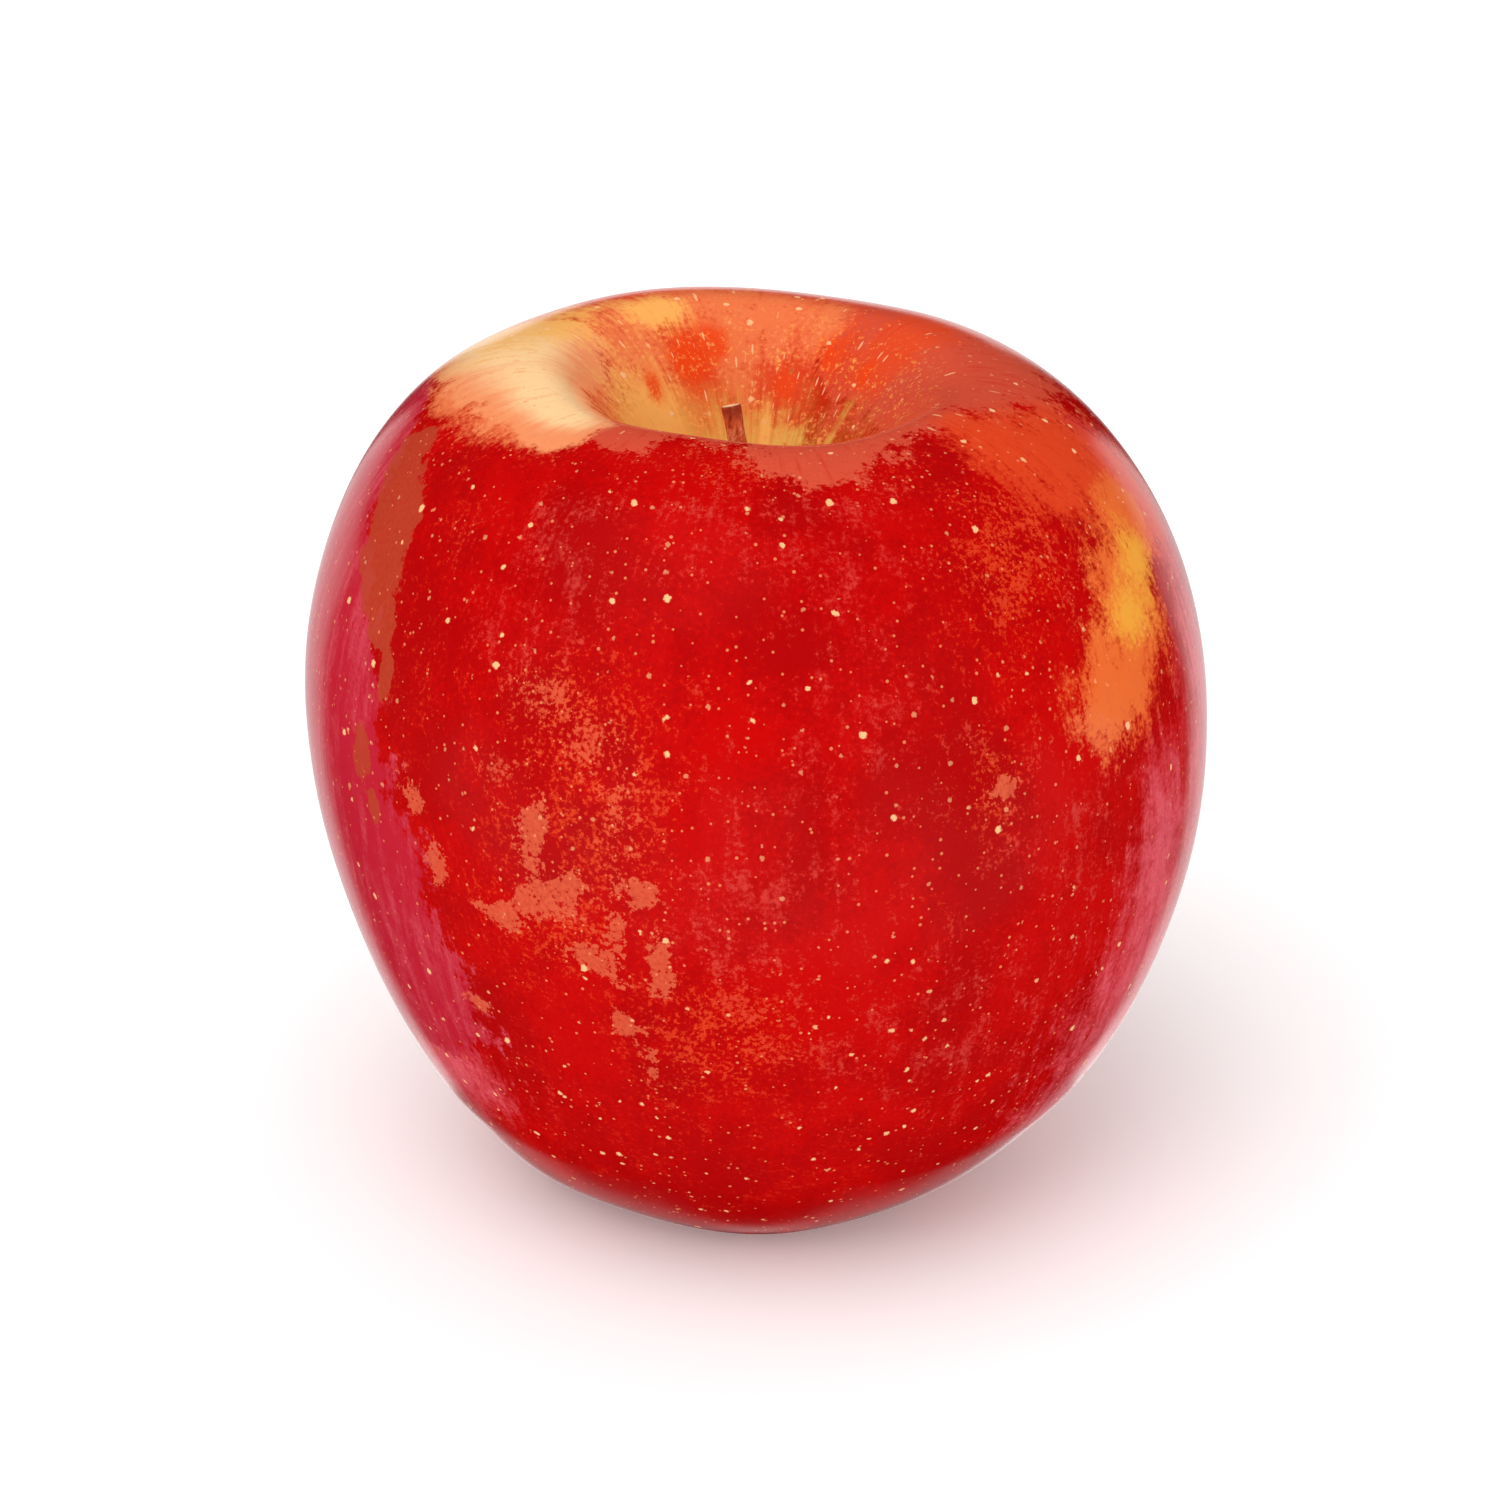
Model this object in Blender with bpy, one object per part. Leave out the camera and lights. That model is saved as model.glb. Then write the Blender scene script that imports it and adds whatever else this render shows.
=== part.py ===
"""Apple, picked, with its stem and the dried calyx in the basin underneath.

The fruit is one solid: a turned outline, then moved a little by five growth lobes, a tilted crest and a
core that is not quite straight. The stem, the five sepals and the stamen tuft are pieces of their own.
Metres, +Z up the core, resting on z = 0, with the origin under the middle of the fruit.
"""

import math

import bmesh
import bpy
from mathutils import Matrix, Vector
from mathutils.geometry import interpolate_bezier

# Fruit outline: heights are above the resting lobes, handles are the reach of each curve at its ends.
FRUIT_RADIUS = 0.0410
FRUIT_HEIGHT = 0.0777
WIDEST_HEIGHT = 0.0457
WIDEST_REACH_UP = 0.0150
WIDEST_REACH_DOWN = 0.0172
CAVITY_DEPTH = 0.0193
CAVITY_FLOOR_REACH = 0.0037
CREST_RADIUS = 0.0192
CREST_REACH_IN = 0.0071
CREST_REACH_OUT = 0.0130
FLANK_RADIUS = 0.0307
FLANK_HEIGHT = 0.0112
FLANK_ANGLE = math.radians(36.4)
FLANK_REACH_UP = 0.0047
FLANK_REACH_DOWN = 0.0107
REST_RADIUS = 0.0131
REST_REACH_OUT = 0.0083
REST_REACH_IN = 0.0040
BASIN_DEPTH = 0.0085
BASIN_FLOOR_REACH = 0.0065

# Uneven growth of the fruit.
LOBE_COUNT = 5
LOBE_BEARING = math.radians(-86.0)
LOBE_VALLEY = 0.0010
LOBE_FADE = 0.25
CREST_BEARING = math.radians(110.0)
CREST_DIP = 0.0004
CREST_FADE = 0.70
LOBE_CORE_RADIUS = 0.010
CREST_TILT = 0.040
CREST_TILT_START = 0.45
CORE_BOW = 0.0026
CORE_SWAY = 0.00045
REST_FLAT_DEPTH = 0.00025

# Mesh fineness.
FRUIT_SEGMENTS = 60
OUTLINE_STEPS = (12, 12, 8, 14, 12)
STEM_SIDES = 14
STEM_SECTIONS = 12

# Stem: it leans sideways as it rises, and it is thicker at its foot and at its cut end.
STEM_FOOT_GAP = 0.00105
STEM_LENGTH = 0.0146
STEM_LEAN = -0.0016
STEM_RADIUS = 0.00106
STEM_FOOT_FLARE = 0.00022
STEM_END_FLARE = 0.00016
STEM_FLARE_SHARPNESS = 6.0

# Calyx: sepals stand around the tuft, roots on the basin floor, tips drawn together and curled out.
SEPAL_COUNT = 5
SEPAL_ROOT_RADIUS = 0.0030
SEPAL_ROOT_GAP = 0.0011
SEPAL_THROAT_RADIUS = 0.0016
SEPAL_TIP_RADIUS = 0.0024
SEPAL_DROP = 0.0026
SEPAL_WIDTH = 0.0024
SEPAL_TIP_WIDTH = 0.0003
SEPAL_CUP = 0.00025
SEPAL_THICKNESS = 0.00035
SEPAL_CELLS_ACROSS = 4
SEPAL_CELLS_ALONG = 8
TUFT_GAP = 0.0004
TUFT_LENGTH = 0.0022
TUFT_ROOT_RADIUS = 0.0009
TUFT_TIP_RADIUS = 0.0005
TUFT_SIDES = 12
TUFT_EDGE = 0.00015


def clear_scene():
    """Removes every object, so that the build starts from nothing."""
    for item in list(bpy.data.objects):
        bpy.data.objects.remove(item, do_unlink=True)


def principled(name, colour, roughness):
    """A plain non-metallic Principled material."""
    material = bpy.data.materials.new(name)
    material.use_nodes = True
    shader = material.node_tree.nodes["Principled BSDF"]
    shader.inputs["Base Color"].default_value = (*colour, 1.0)
    shader.inputs["Roughness"].default_value = roughness
    shader.inputs["Metallic"].default_value = 0.0
    material.diffuse_color = (*colour, 1.0)
    return material


def add_object(name, mesh, material, parent):
    """Links a mesh under its parent, shaded smooth and with its one material."""
    mesh.shade_smooth()
    mesh.materials.append(material)
    item = bpy.data.objects.new(name, mesh)
    bpy.context.collection.objects.link(item)
    item.parent = parent
    return item


def at(radius, height):
    """A point of the outline, which lies in the XZ plane."""
    return Vector((radius, 0.0, height))


def fruit_outline():
    """Half section of the fruit, from the cavity floor over the crest and the flank to the basin floor."""
    up_the_flank = at(math.sin(FLANK_ANGLE), math.cos(FLANK_ANGLE))
    cavity = at(0.0, FRUIT_HEIGHT - CAVITY_DEPTH)
    crest = at(CREST_RADIUS, FRUIT_HEIGHT)
    widest = at(FRUIT_RADIUS, WIDEST_HEIGHT)
    flank = at(FLANK_RADIUS, FLANK_HEIGHT)
    rest = at(REST_RADIUS, 0.0)
    basin = at(0.0, BASIN_DEPTH)
    curves = [
        (cavity, cavity + at(CAVITY_FLOOR_REACH, 0.0), crest - at(CREST_REACH_IN, 0.0), crest),
        (crest, crest + at(CREST_REACH_OUT, 0.0), widest + at(0.0, WIDEST_REACH_UP), widest),
        (widest, widest - at(0.0, WIDEST_REACH_DOWN), flank + up_the_flank * FLANK_REACH_UP, flank),
        (flank, flank - up_the_flank * FLANK_REACH_DOWN, rest + at(REST_REACH_OUT, 0.0), rest),
        (rest, rest - at(REST_REACH_IN, 0.0), basin + at(BASIN_FLOOR_REACH, 0.0), basin),
    ]
    points = [cavity]
    for (start, leave, arrive, end), steps in zip(curves, OUTLINE_STEPS):
        points += interpolate_bezier(start, leave, arrive, end, steps + 1)[1:]
    return points


def lobe_valley(bearing, first_lobe):
    """0 on the ridge of a lobe and 1 in the valley between two."""
    return 0.5 - 0.5 * math.cos(LOBE_COUNT * (bearing - first_lobe))


def grown(point):
    """Where the fruit's uneven growth puts a point of the evenly turned body."""
    level = point.z / FRUIT_HEIGHT
    bearing = math.atan2(point.y, point.x)
    off_core = min(point.xy.length / LOBE_CORE_RADIUS, 1.0) ** 2
    near_base = max(1.0 - level / LOBE_FADE, 0.0) ** 2 * off_core
    near_crest = max((level - CREST_FADE) / (1.0 - CREST_FADE), 0.0) ** 2 * off_core
    tilted = max((level - CREST_TILT_START) / (1.0 - CREST_TILT_START), 0.0) ** 2
    core_drift = CORE_SWAY * math.sin(math.tau * level) - CORE_BOW * (level - 0.5) ** 2
    x = point.x + core_drift
    z = point.z - CREST_TILT * tilted * x
    z += LOBE_VALLEY * lobe_valley(bearing, LOBE_BEARING) * near_base
    z -= CREST_DIP * lobe_valley(bearing, CREST_BEARING) * near_crest
    return Vector((x, point.y, max(z - REST_FLAT_DEPTH, 0.0)))


def fruit_mesh():
    """The turned outline, closed on its two poles, with the uneven growth put in."""
    body = bmesh.new()
    ring = [body.verts.new(point) for point in fruit_outline()]
    edges = [body.edges.new(pair) for pair in zip(ring, ring[1:])]
    bmesh.ops.spin(
        body, geom=ring + edges, cent=(0.0, 0.0, 0.0), axis=(0.0, 0.0, 1.0),
        angle=math.tau, steps=FRUIT_SEGMENTS, use_merge=True,
    )
    bmesh.ops.remove_doubles(body, verts=body.verts, dist=1e-6)
    for vertex in body.verts:
        vertex.co = grown(vertex.co)
    bmesh.ops.recalc_face_normals(body, faces=body.faces)
    mesh = bpy.data.meshes.new("fruit")
    body.to_mesh(mesh)
    body.free()
    return mesh


def box_middle(mesh):
    """The middle of a mesh's box, seen from above."""
    across = [vertex.co.x for vertex in mesh.vertices]
    deep = [vertex.co.y for vertex in mesh.vertices]
    return Vector(((min(across) + max(across)) / 2, (min(deep) + max(deep)) / 2, 0.0))


def stem_radius(along):
    """The stem's radius at a fraction of its length: flared at its foot and, less, at its cut end."""
    foot = STEM_FOOT_FLARE * math.exp(-STEM_FLARE_SHARPNESS * along)
    end = STEM_END_FLARE * math.exp(-STEM_FLARE_SHARPNESS * (1.0 - along))
    return STEM_RADIUS + foot + end


def stem_mesh(foot):
    """A disc at the foot, extruded section by section along a line that leans more as it rises."""
    body = bmesh.new()
    bmesh.ops.create_circle(
        body, cap_ends=True, segments=STEM_SIDES, radius=stem_radius(0.0), matrix=Matrix.Translation(foot),
    )
    body.faces.ensure_lookup_table()
    top = body.faces[0]
    middle = foot
    for section in range(1, STEM_SECTIONS + 1):
        along = section / STEM_SECTIONS
        before = (section - 1) / STEM_SECTIONS
        extruded = bmesh.ops.extrude_face_region(body, geom=[top, *top.edges, *top.verts])["geom"]
        top = next(part for part in extruded if isinstance(part, bmesh.types.BMFace))
        verts = [part for part in extruded if isinstance(part, bmesh.types.BMVert)]
        step = Vector((STEM_LEAN * (along ** 1.5 - before ** 1.5), 0.0, STEM_LENGTH / STEM_SECTIONS))
        middle = middle + step
        bmesh.ops.translate(body, verts=verts, vec=step)
        widen = stem_radius(along) / stem_radius(before)
        bmesh.ops.scale(body, verts=verts, vec=(widen, widen, 1.0), space=Matrix.Translation(-middle))
    bmesh.ops.recalc_face_normals(body, faces=body.faces)
    mesh = bpy.data.meshes.new("stem")
    body.to_mesh(mesh)
    body.free()
    return mesh


def sepal_mesh():
    """One sepal at bearing 0, root at the origin's height: a cupped leaf that hangs and curls outwards."""
    body = bmesh.new()
    bmesh.ops.create_grid(body, x_segments=SEPAL_CELLS_ACROSS, y_segments=SEPAL_CELLS_ALONG, size=1.0)
    root = at(SEPAL_ROOT_RADIUS, 0.0)
    throat = at(SEPAL_THROAT_RADIUS, -SEPAL_DROP / 3)
    bend = at(SEPAL_THROAT_RADIUS, -SEPAL_DROP * 2 / 3)
    tip = at(SEPAL_TIP_RADIUS, -SEPAL_DROP)
    spine = interpolate_bezier(root, throat, bend, tip, SEPAL_CELLS_ALONG + 1)
    for vertex in body.verts:
        across = vertex.co.x
        row = round((vertex.co.y + 1.0) / 2.0 * SEPAL_CELLS_ALONG)
        taper = (row / SEPAL_CELLS_ALONG) ** 1.5
        half_width = (SEPAL_WIDTH * (1.0 - taper) + SEPAL_TIP_WIDTH * taper) / 2
        cup = SEPAL_CUP * across ** 2 * (1.0 - taper)
        vertex.co = spine[row] + Vector((-cup, across * half_width, 0.0))
    mesh = bpy.data.meshes.new("sepal")
    body.to_mesh(mesh)
    body.free()
    return mesh


def add_sepal(number, mesh, middle, material, parent):
    """One of the five sepals: the shared leaf, turned to its bearing and given its thickness."""
    turn = Matrix.Rotation(math.tau * (number - 1) / SEPAL_COUNT, 4, "Z")
    placed = mesh.copy()
    placed.transform(Matrix.Translation(middle) @ turn)
    item = add_object(f"sepal_{number}", placed, material, parent)
    solidify = item.modifiers.new("thickness", "SOLIDIFY")
    solidify.thickness = SEPAL_THICKNESS
    solidify.offset = 0.0
    return item


def tuft_mesh(root):
    """The dried stamens as one short blunt cone that hangs from the basin floor."""
    body = bmesh.new()
    bmesh.ops.create_cone(
        body, cap_ends=True, segments=TUFT_SIDES, radius1=TUFT_TIP_RADIUS, radius2=TUFT_ROOT_RADIUS,
        depth=TUFT_LENGTH, matrix=Matrix.Translation(root - Vector((0.0, 0.0, TUFT_LENGTH / 2))),
    )
    rims = [edge for edge in body.edges if abs(edge.verts[0].co.z - edge.verts[1].co.z) < TUFT_EDGE]
    bmesh.ops.bevel(body, geom=rims, offset=TUFT_EDGE, segments=2, profile=0.5, affect="EDGES", material=-1)
    mesh = bpy.data.meshes.new("stamen_tuft")
    body.to_mesh(mesh)
    body.free()
    return mesh


def main():
    """Builds the apple under one empty that puts the middle of the fruit's box over the origin."""
    clear_scene()
    skin = principled("skin", (0.60, 0.012, 0.006), 0.35)
    bark = principled("stem", (0.30, 0.085, 0.03), 0.75)
    dry_leaf = principled("sepal", (0.12, 0.06, 0.025), 0.85)
    dry_stamen = principled("stamen", (0.06, 0.035, 0.018), 0.9)

    body = fruit_mesh()
    apple = bpy.data.objects.new("apple", None)
    bpy.context.collection.objects.link(apple)
    apple.location = -box_middle(body)
    add_object("fruit", body, skin, apple)

    stem_foot = grown(at(0.0, FRUIT_HEIGHT - CAVITY_DEPTH)) + Vector((0.0, 0.0, STEM_FOOT_GAP))
    add_object("stem", stem_mesh(stem_foot), bark, apple)

    basin_floor = grown(at(0.0, BASIN_DEPTH))
    leaf = sepal_mesh()
    sepal_root = basin_floor - Vector((0.0, 0.0, SEPAL_ROOT_GAP))
    for number in range(1, SEPAL_COUNT + 1):
        add_sepal(number, leaf, sepal_root, dry_leaf, apple)
    tuft_root = basin_floor - Vector((0.0, 0.0, TUFT_GAP))
    add_object("stamen_tuft", tuft_mesh(tuft_root), dry_stamen, apple)
    bpy.context.view_layer.update()


main()
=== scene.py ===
"""Apple, picked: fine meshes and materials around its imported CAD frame, with a plain studio stage."""

import math

import bmesh
import bpy
from bpy.props import FloatProperty, FloatVectorProperty, IntProperty, PointerProperty
from mathutils import Matrix, Vector, noise
from mathutils.geometry import interpolate_bezier


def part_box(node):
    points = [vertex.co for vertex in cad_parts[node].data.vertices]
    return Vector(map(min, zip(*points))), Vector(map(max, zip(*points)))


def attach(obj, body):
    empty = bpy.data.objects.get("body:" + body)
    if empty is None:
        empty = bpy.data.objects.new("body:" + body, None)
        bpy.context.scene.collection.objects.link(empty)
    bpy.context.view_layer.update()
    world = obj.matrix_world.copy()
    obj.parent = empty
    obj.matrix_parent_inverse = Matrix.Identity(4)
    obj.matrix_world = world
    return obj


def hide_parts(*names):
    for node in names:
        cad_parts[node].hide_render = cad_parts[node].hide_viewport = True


bl_info = {
    "name": "Apple",
    "version": (1, 0, 0),
    "blender": (4, 5, 0),
    "location": "View3D > Sidebar > Apple",
    "description": "Builds a ripe apple with its stem and dried calyx on a plain studio stage",
    "category": "Object",
}

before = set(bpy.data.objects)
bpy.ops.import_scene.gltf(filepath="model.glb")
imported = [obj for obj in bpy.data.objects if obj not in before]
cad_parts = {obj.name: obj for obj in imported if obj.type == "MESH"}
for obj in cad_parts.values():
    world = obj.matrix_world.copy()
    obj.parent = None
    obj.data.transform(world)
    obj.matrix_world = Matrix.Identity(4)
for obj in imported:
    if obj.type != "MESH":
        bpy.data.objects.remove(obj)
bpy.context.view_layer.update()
FRUIT_LOW, FRUIT_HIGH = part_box("fruit")
STEM_LOW, STEM_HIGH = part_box("stem")
SEPAL_COUNT = sum(name.startswith("sepal_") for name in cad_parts)


def rgb(red, green, blue):
    """A colour given in the usual 0 to 255 steps, as linear values with full alpha."""
    steps = (red / 255, green / 255, blue / 255)
    return (*(step / 12.92 if step <= 0.04045 else ((step + 0.055) / 1.055) ** 2.4 for step in steps), 1.0)


# ---------------------------------------------------------------- sizes and colours

def length(name, description, default):
    """A length in metres that a user may change."""
    return FloatProperty(name=name, description=description, default=default, unit="LENGTH", precision=5)


def colour(name, description, default):
    """A colour that a user may change."""
    return FloatVectorProperty(
        name=name, description=description, default=default, subtype="COLOR", size=4, min=0.0, max=1.0,
    )


def number(name, description, default):
    """A plain number that a user may change."""
    return FloatProperty(name=name, description=description, default=default)


def angle(name, description, degrees):
    """An angle that a user may change."""
    return FloatProperty(name=name, description=description, default=math.radians(degrees), subtype="ANGLE")


def count(name, description, default, lowest):
    """A whole number that a user may change."""
    return IntProperty(name=name, description=description, default=default, min=lowest)


class FruitSettings(bpy.types.PropertyGroup):
    """Outline, unevenness and skin colours of the fruit."""

    radius: length("Radius", "Half of the largest width", (FRUIT_HIGH.x - FRUIT_LOW.x) / 2)
    height: length("Height", "Crest above the resting lobes, before the crest is tilted", 0.0777)
    widest_height: length("Widest height", "Where the fruit is widest", 0.0457)
    cavity_depth: length("Cavity depth", "Floor of the stem cavity below the crest", 0.0193)
    crest_radius: length("Crest radius", "Radius of the highest ring, around the stem cavity", 0.0192)
    flank_radius: length("Flank radius", "Radius low on the straight flank", 0.0307)
    flank_height: length("Flank height", "Height low on the straight flank", 0.0112)
    flank_angle: angle("Flank angle", "Slope of the flank from upright", 36.4)
    rest_radius: length("Rest radius", "Radius of the ring that the lobes rest on", 0.0131)
    basin_depth: length("Basin depth", "Depth of the calyx basin", 0.0085)
    lobe_count: count("Lobes", "Number of growth lobes", 5, 1)
    lobe_valley: length("Lobe valley", "Rise of the base between two lobes", 0.0010)
    crest_dip: length("Crest dip", "Fall of the crest between two lobes", 0.0004)
    crest_tilt: number("Crest tilt", "Sideways slope of the crest", 0.040)
    core_bow: length("Core bow", "Sideways bow of the core", 0.0026)
    core_sway: length("Core sway", "Sideways sway of the core", 0.00045)
    rest_flat: length("Rest flat", "Height taken off the lobes by their resting flats", 0.00025)
    swell: length("Swell", "Height of the shallow swellings all over the skin", 0.00012)
    segments: count("Segments", "Steps around the fruit", 280, 16)

    deep_red: colour("Deep red", "Darkest overcolour", rgb(172, 1, 3))
    red: colour("Red", "Main overcolour", rgb(194, 2, 1))
    orange_red: colour("Orange red", "Thin overcolour", rgb(226, 72, 32))
    dusty_red: colour("Dusty red", "Thin overcolour on the shoulder", rgb(216, 86, 60))
    flush: colour("Flush", "Pink flush in the overcolour", rgb(204, 66, 60))
    # The pink of painted reflections: the sheen near the rims and the paler streaks in the sheen down the
    # left flank.
    painted_sheen_pink: colour("Rose", "Thin rosy haze near the edges of the overcolour", rgb(238, 110, 124))
    # A painted reflection: the pink sheen down the left flank.
    painted_sheen: colour("Painted sheen", "Waxy bloom over the red", rgb(188, 30, 50))
    glow: colour("Glow", "Blushed wall of the stem cavity", rgb(236, 122, 72))
    orange: colour("Orange", "Overcolour over yellow ground", rgb(232, 106, 46))
    ochre: colour("Ochre", "Bare ground on the sunless cheek", rgb(240, 166, 58))
    salmon: colour("Salmon", "Small bare patches", rgb(214, 90, 60))
    peach: colour("Peach", "Blushed ground colour", rgb(240, 144, 94))
    cream: colour("Cream", "Palest ground colour", rgb(254, 208, 152))
    green: colour("Yellow green", "Ground colour in the stem cavity", rgb(240, 194, 92))
    umber: colour("Umber", "Browned ground in the stem cavity", rgb(194, 96, 32))
    olive: colour("Olive", "Browned strip of skin", rgb(180, 62, 38))
    ember: colour("Ember", "Flushed spots in the stem cavity", rgb(234, 66, 12))
    straw: colour("Straw", "Fine flecks around the stem", rgb(250, 182, 92))
    pore: colour("Pore", "Pores in the skin", rgb(250, 188, 132))


class StemSettings(bpy.types.PropertyGroup):
    """Sizes and colours of the stem."""

    radius: length("Radius", "Radius at the middle of its length", 0.00080)
    lean: length("Lean", "Sideways reach of its top end", -0.0020)
    foot_flare: length("Foot flare", "Widening where it grows from the fruit", 0.0011)
    end_flare: length("End flare", "Widening at the cut end", 0.00004)
    segments: count("Segments", "Steps around the stem", 48, 8)
    bark: colour("Bark", "Main bark colour", rgb(222, 100, 52))
    dark: colour("Dark bark", "Bark in the grooves", rgb(146, 40, 18))
    pale: colour("Pale bark", "Worn ridges of the bark", rgb(250, 190, 144))
    cut: colour("Cut end", "Dry wood of the cut end", rgb(232, 196, 150))


class CalyxSettings(bpy.types.PropertyGroup):
    """Sizes and colours of the dried calyx."""

    root_radius: length("Root radius", "Ring that the sepals grow from", 0.0030)
    throat_radius: length("Throat radius", "Narrowest ring of the drawn-together sepals", 0.0016)
    tip_radius: length("Tip radius", "Ring of the sepal tips", 0.0024)
    sepal_width: length("Sepal width", "Width of a sepal at its root", 0.0028)
    sepal_thickness: length("Sepal thickness", "Thickness of a dried sepal", 0.00018)
    stamen_count: count("Stamens", "Number of dried stamens", 15, 3)
    leaf: colour("Sepal", "Dried sepal", rgb(104, 74, 46))
    leaf_dark: colour("Sepal edge", "Darker edge and tip of a sepal", rgb(48, 32, 20))
    stamen: colour("Stamen", "Dried stamens", rgb(64, 44, 28))


class StageSettings(bpy.types.PropertyGroup):
    """Camera, floor and light."""

    elevation: angle("Elevation", "Height angle of the camera", 25.0)
    distance: length("Distance", "Camera to the middle of the fruit", 0.418)
    lens: number("Lens", "Focal length in millimetres", 109.2)
    aim_left: length("Aim left", "How far left of the core the camera looks", 0.00066)
    aim_up: length("Aim up", "How far above the fruit's middle the camera looks", 0.00091)
    floor_colour: colour("Floor", "Pale floor", (0.97, 0.97, 0.97, 1.0))
    floor_glow: number("Floor glow", "Light that comes through the floor", 0.15)
    tent: number("Tent", "Strength of the even light from all around", 0.72)
    key: number("Key", "Strength of the light above and left of the camera", 1.1)
    fill: number("Fill", "Strength of each light beside the camera", 0.42)
    softness: angle("Softness", "Angle that the key and fill lights spread over", 50.0)
    back_panel: number("Back panel", "Brightness mirrored from straight behind", 1.05)
    side_panels: number("Side panels", "Brightness mirrored from either side behind", 0.90)
    other_panels: number("Other panels", "Brightness mirrored from low behind and from in front", 0.35)


# ---------------------------------------------------------------- shader graph

# The Mix node has sockets of one name for each kind of value. These are its colour sockets.
MIX_FIRST = 6
MIX_SECOND = 7
MIX_RESULT = 2

class Value:
    """A socket of a material, so that shader maths reads as ordinary arithmetic."""

    def __init__(self, graph, socket):
        self.graph = graph
        self.socket = socket

    def maths(self, operation, first, second):
        """One Math node."""
        made = self.graph.node("ShaderNodeMath", {"operation": operation}, {0: first, 1: second})
        return Value(self.graph, made.outputs[0])

    def __add__(self, other):
        return self.maths("ADD", self, other)

    __radd__ = __add__

    def __sub__(self, other):
        return self.maths("SUBTRACT", self, other)

    def __rsub__(self, other):
        return self.maths("SUBTRACT", other, self)

    def __mul__(self, other):
        return self.maths("MULTIPLY", self, other)

    __rmul__ = __mul__


class Graph:
    """The nodes of one material or of the world, and the shader that they feed."""

    def __init__(self, owner, shader="Principled BSDF"):
        owner.use_nodes = True
        self.owner = owner
        self.tree = owner.node_tree
        self.shader = self.tree.nodes[shader]

    def node(self, kind, settings, values):
        """Adds a node: its settings first, then a value or a link for each socket."""
        made = self.tree.nodes.new(kind)
        for name, setting in settings.items():
            setattr(made, name, setting)
        for name, value in values.items():
            self.feed(made.inputs[name], value)
        return made

    def feed(self, socket, value):
        """Links or sets one input socket."""
        if isinstance(value, Value):
            self.tree.links.new(value.socket, socket)
        else:
            socket.default_value = value

    def out(self, made, name=0):
        """One output of a node, as a value."""
        return Value(self, made.outputs[name])

    def attribute(self, name, output="Fac"):
        """A painted attribute of the mesh."""
        return self.out(self.node("ShaderNodeAttribute", {"attribute_name": name}, {}), output)

    def position(self):
        """The place in the object's own metres."""
        return self.out(self.node("ShaderNodeTexCoord", {}, {}), "Object")

    def stretched(self, vector, factors):
        """A vector with each part multiplied by its own factor."""
        return self.out(self.node("ShaderNodeVectorMath", {"operation": "MULTIPLY"}, {0: vector, 1: factors}))

    def moved(self, vector, shift):
        """A vector with another added."""
        return self.out(self.node("ShaderNodeVectorMath", {"operation": "ADD"}, {0: vector, 1: shift}))

    def noise(self, vector, scale, detail, roughness, output="Fac"):
        """Fractal noise from 0 to 1 about 0.5, or its three colour parts."""
        values = {"Vector": vector, "Scale": scale, "Detail": detail, "Roughness": roughness}
        return self.out(self.node("ShaderNodeTexNoise", {}, values), output)

    def cells(self, vector, scale, output):
        """Distance to the nearest scattered point, or the random colour of its cell."""
        return self.out(self.node("ShaderNodeTexVoronoi", {}, {"Vector": vector, "Scale": scale}), output)

    def largest(self, first, second):
        """The larger of two values."""
        return first.maths("MAXIMUM", first, second)

    def step(self, value, low, high):
        """0 below low, 1 above high, and smooth between. With low above high it falls instead."""
        rising = low <= high
        values = {
            "Value": value, "From Min": min(low, high), "From Max": max(low, high),
            "To Min": 0.0 if rising else 1.0, "To Max": 1.0 if rising else 0.0,
        }
        return self.out(self.node("ShaderNodeMapRange", {"interpolation_type": "SMOOTHSTEP"}, values))

    def mix(self, factor, first, second):
        """From the first colour at 0 to the second at 1."""
        made = self.node(
            "ShaderNodeMix", {"data_type": "RGBA"}, {"Factor": factor, MIX_FIRST: first, MIX_SECOND: second},
        )
        return self.out(made, MIX_RESULT)

    def part(self, vector, name):
        """One of the X, Y or Z parts of a vector."""
        return self.out(self.node("ShaderNodeSeparateXYZ", {}, {"Vector": vector}), name)

    def bump(self, height, distance):
        """A bumped normal from a height of 0 to 1 and its real size in metres."""
        return self.out(self.node("ShaderNodeBump", {}, {"Height": height, "Distance": distance}), "Normal")

    def finish(self, **values):
        """Feeds the shader, with underscores for the spaces in its socket names."""
        for name, value in values.items():
            self.feed(self.shader.inputs[name.replace("_", " ")], value)
        return self.owner


def new_graph(name):
    """A graph of a new material."""
    return Graph(bpy.data.materials.new(name))


# ---------------------------------------------------------------- fruit

OUTLINE_STEPS = (44, 56, 56, 34, 22)
CAVITY_FLOOR_REACH = 0.0037
CREST_REACH_IN = 0.0071
CREST_REACH_OUT = 0.0130
WIDEST_REACH_UP = 0.0150
WIDEST_REACH_DOWN = 0.0172
FLANK_REACH_UP = 0.0047
FLANK_REACH_DOWN = 0.0107
REST_REACH_OUT = 0.0083
REST_REACH_IN = 0.0040
BASIN_FLOOR_REACH = 0.0065
LOBE_BEARING = math.radians(-86.0)
LOBE_FADE = 0.25
CREST_BEARING = math.radians(110.0)
CREST_FADE = 0.70
LOBE_CORE_RADIUS = 0.010
CREST_TILT_START = 0.45
SWELL_PER_METRE = 75.0
MERGE_DISTANCE = 1e-6

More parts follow.
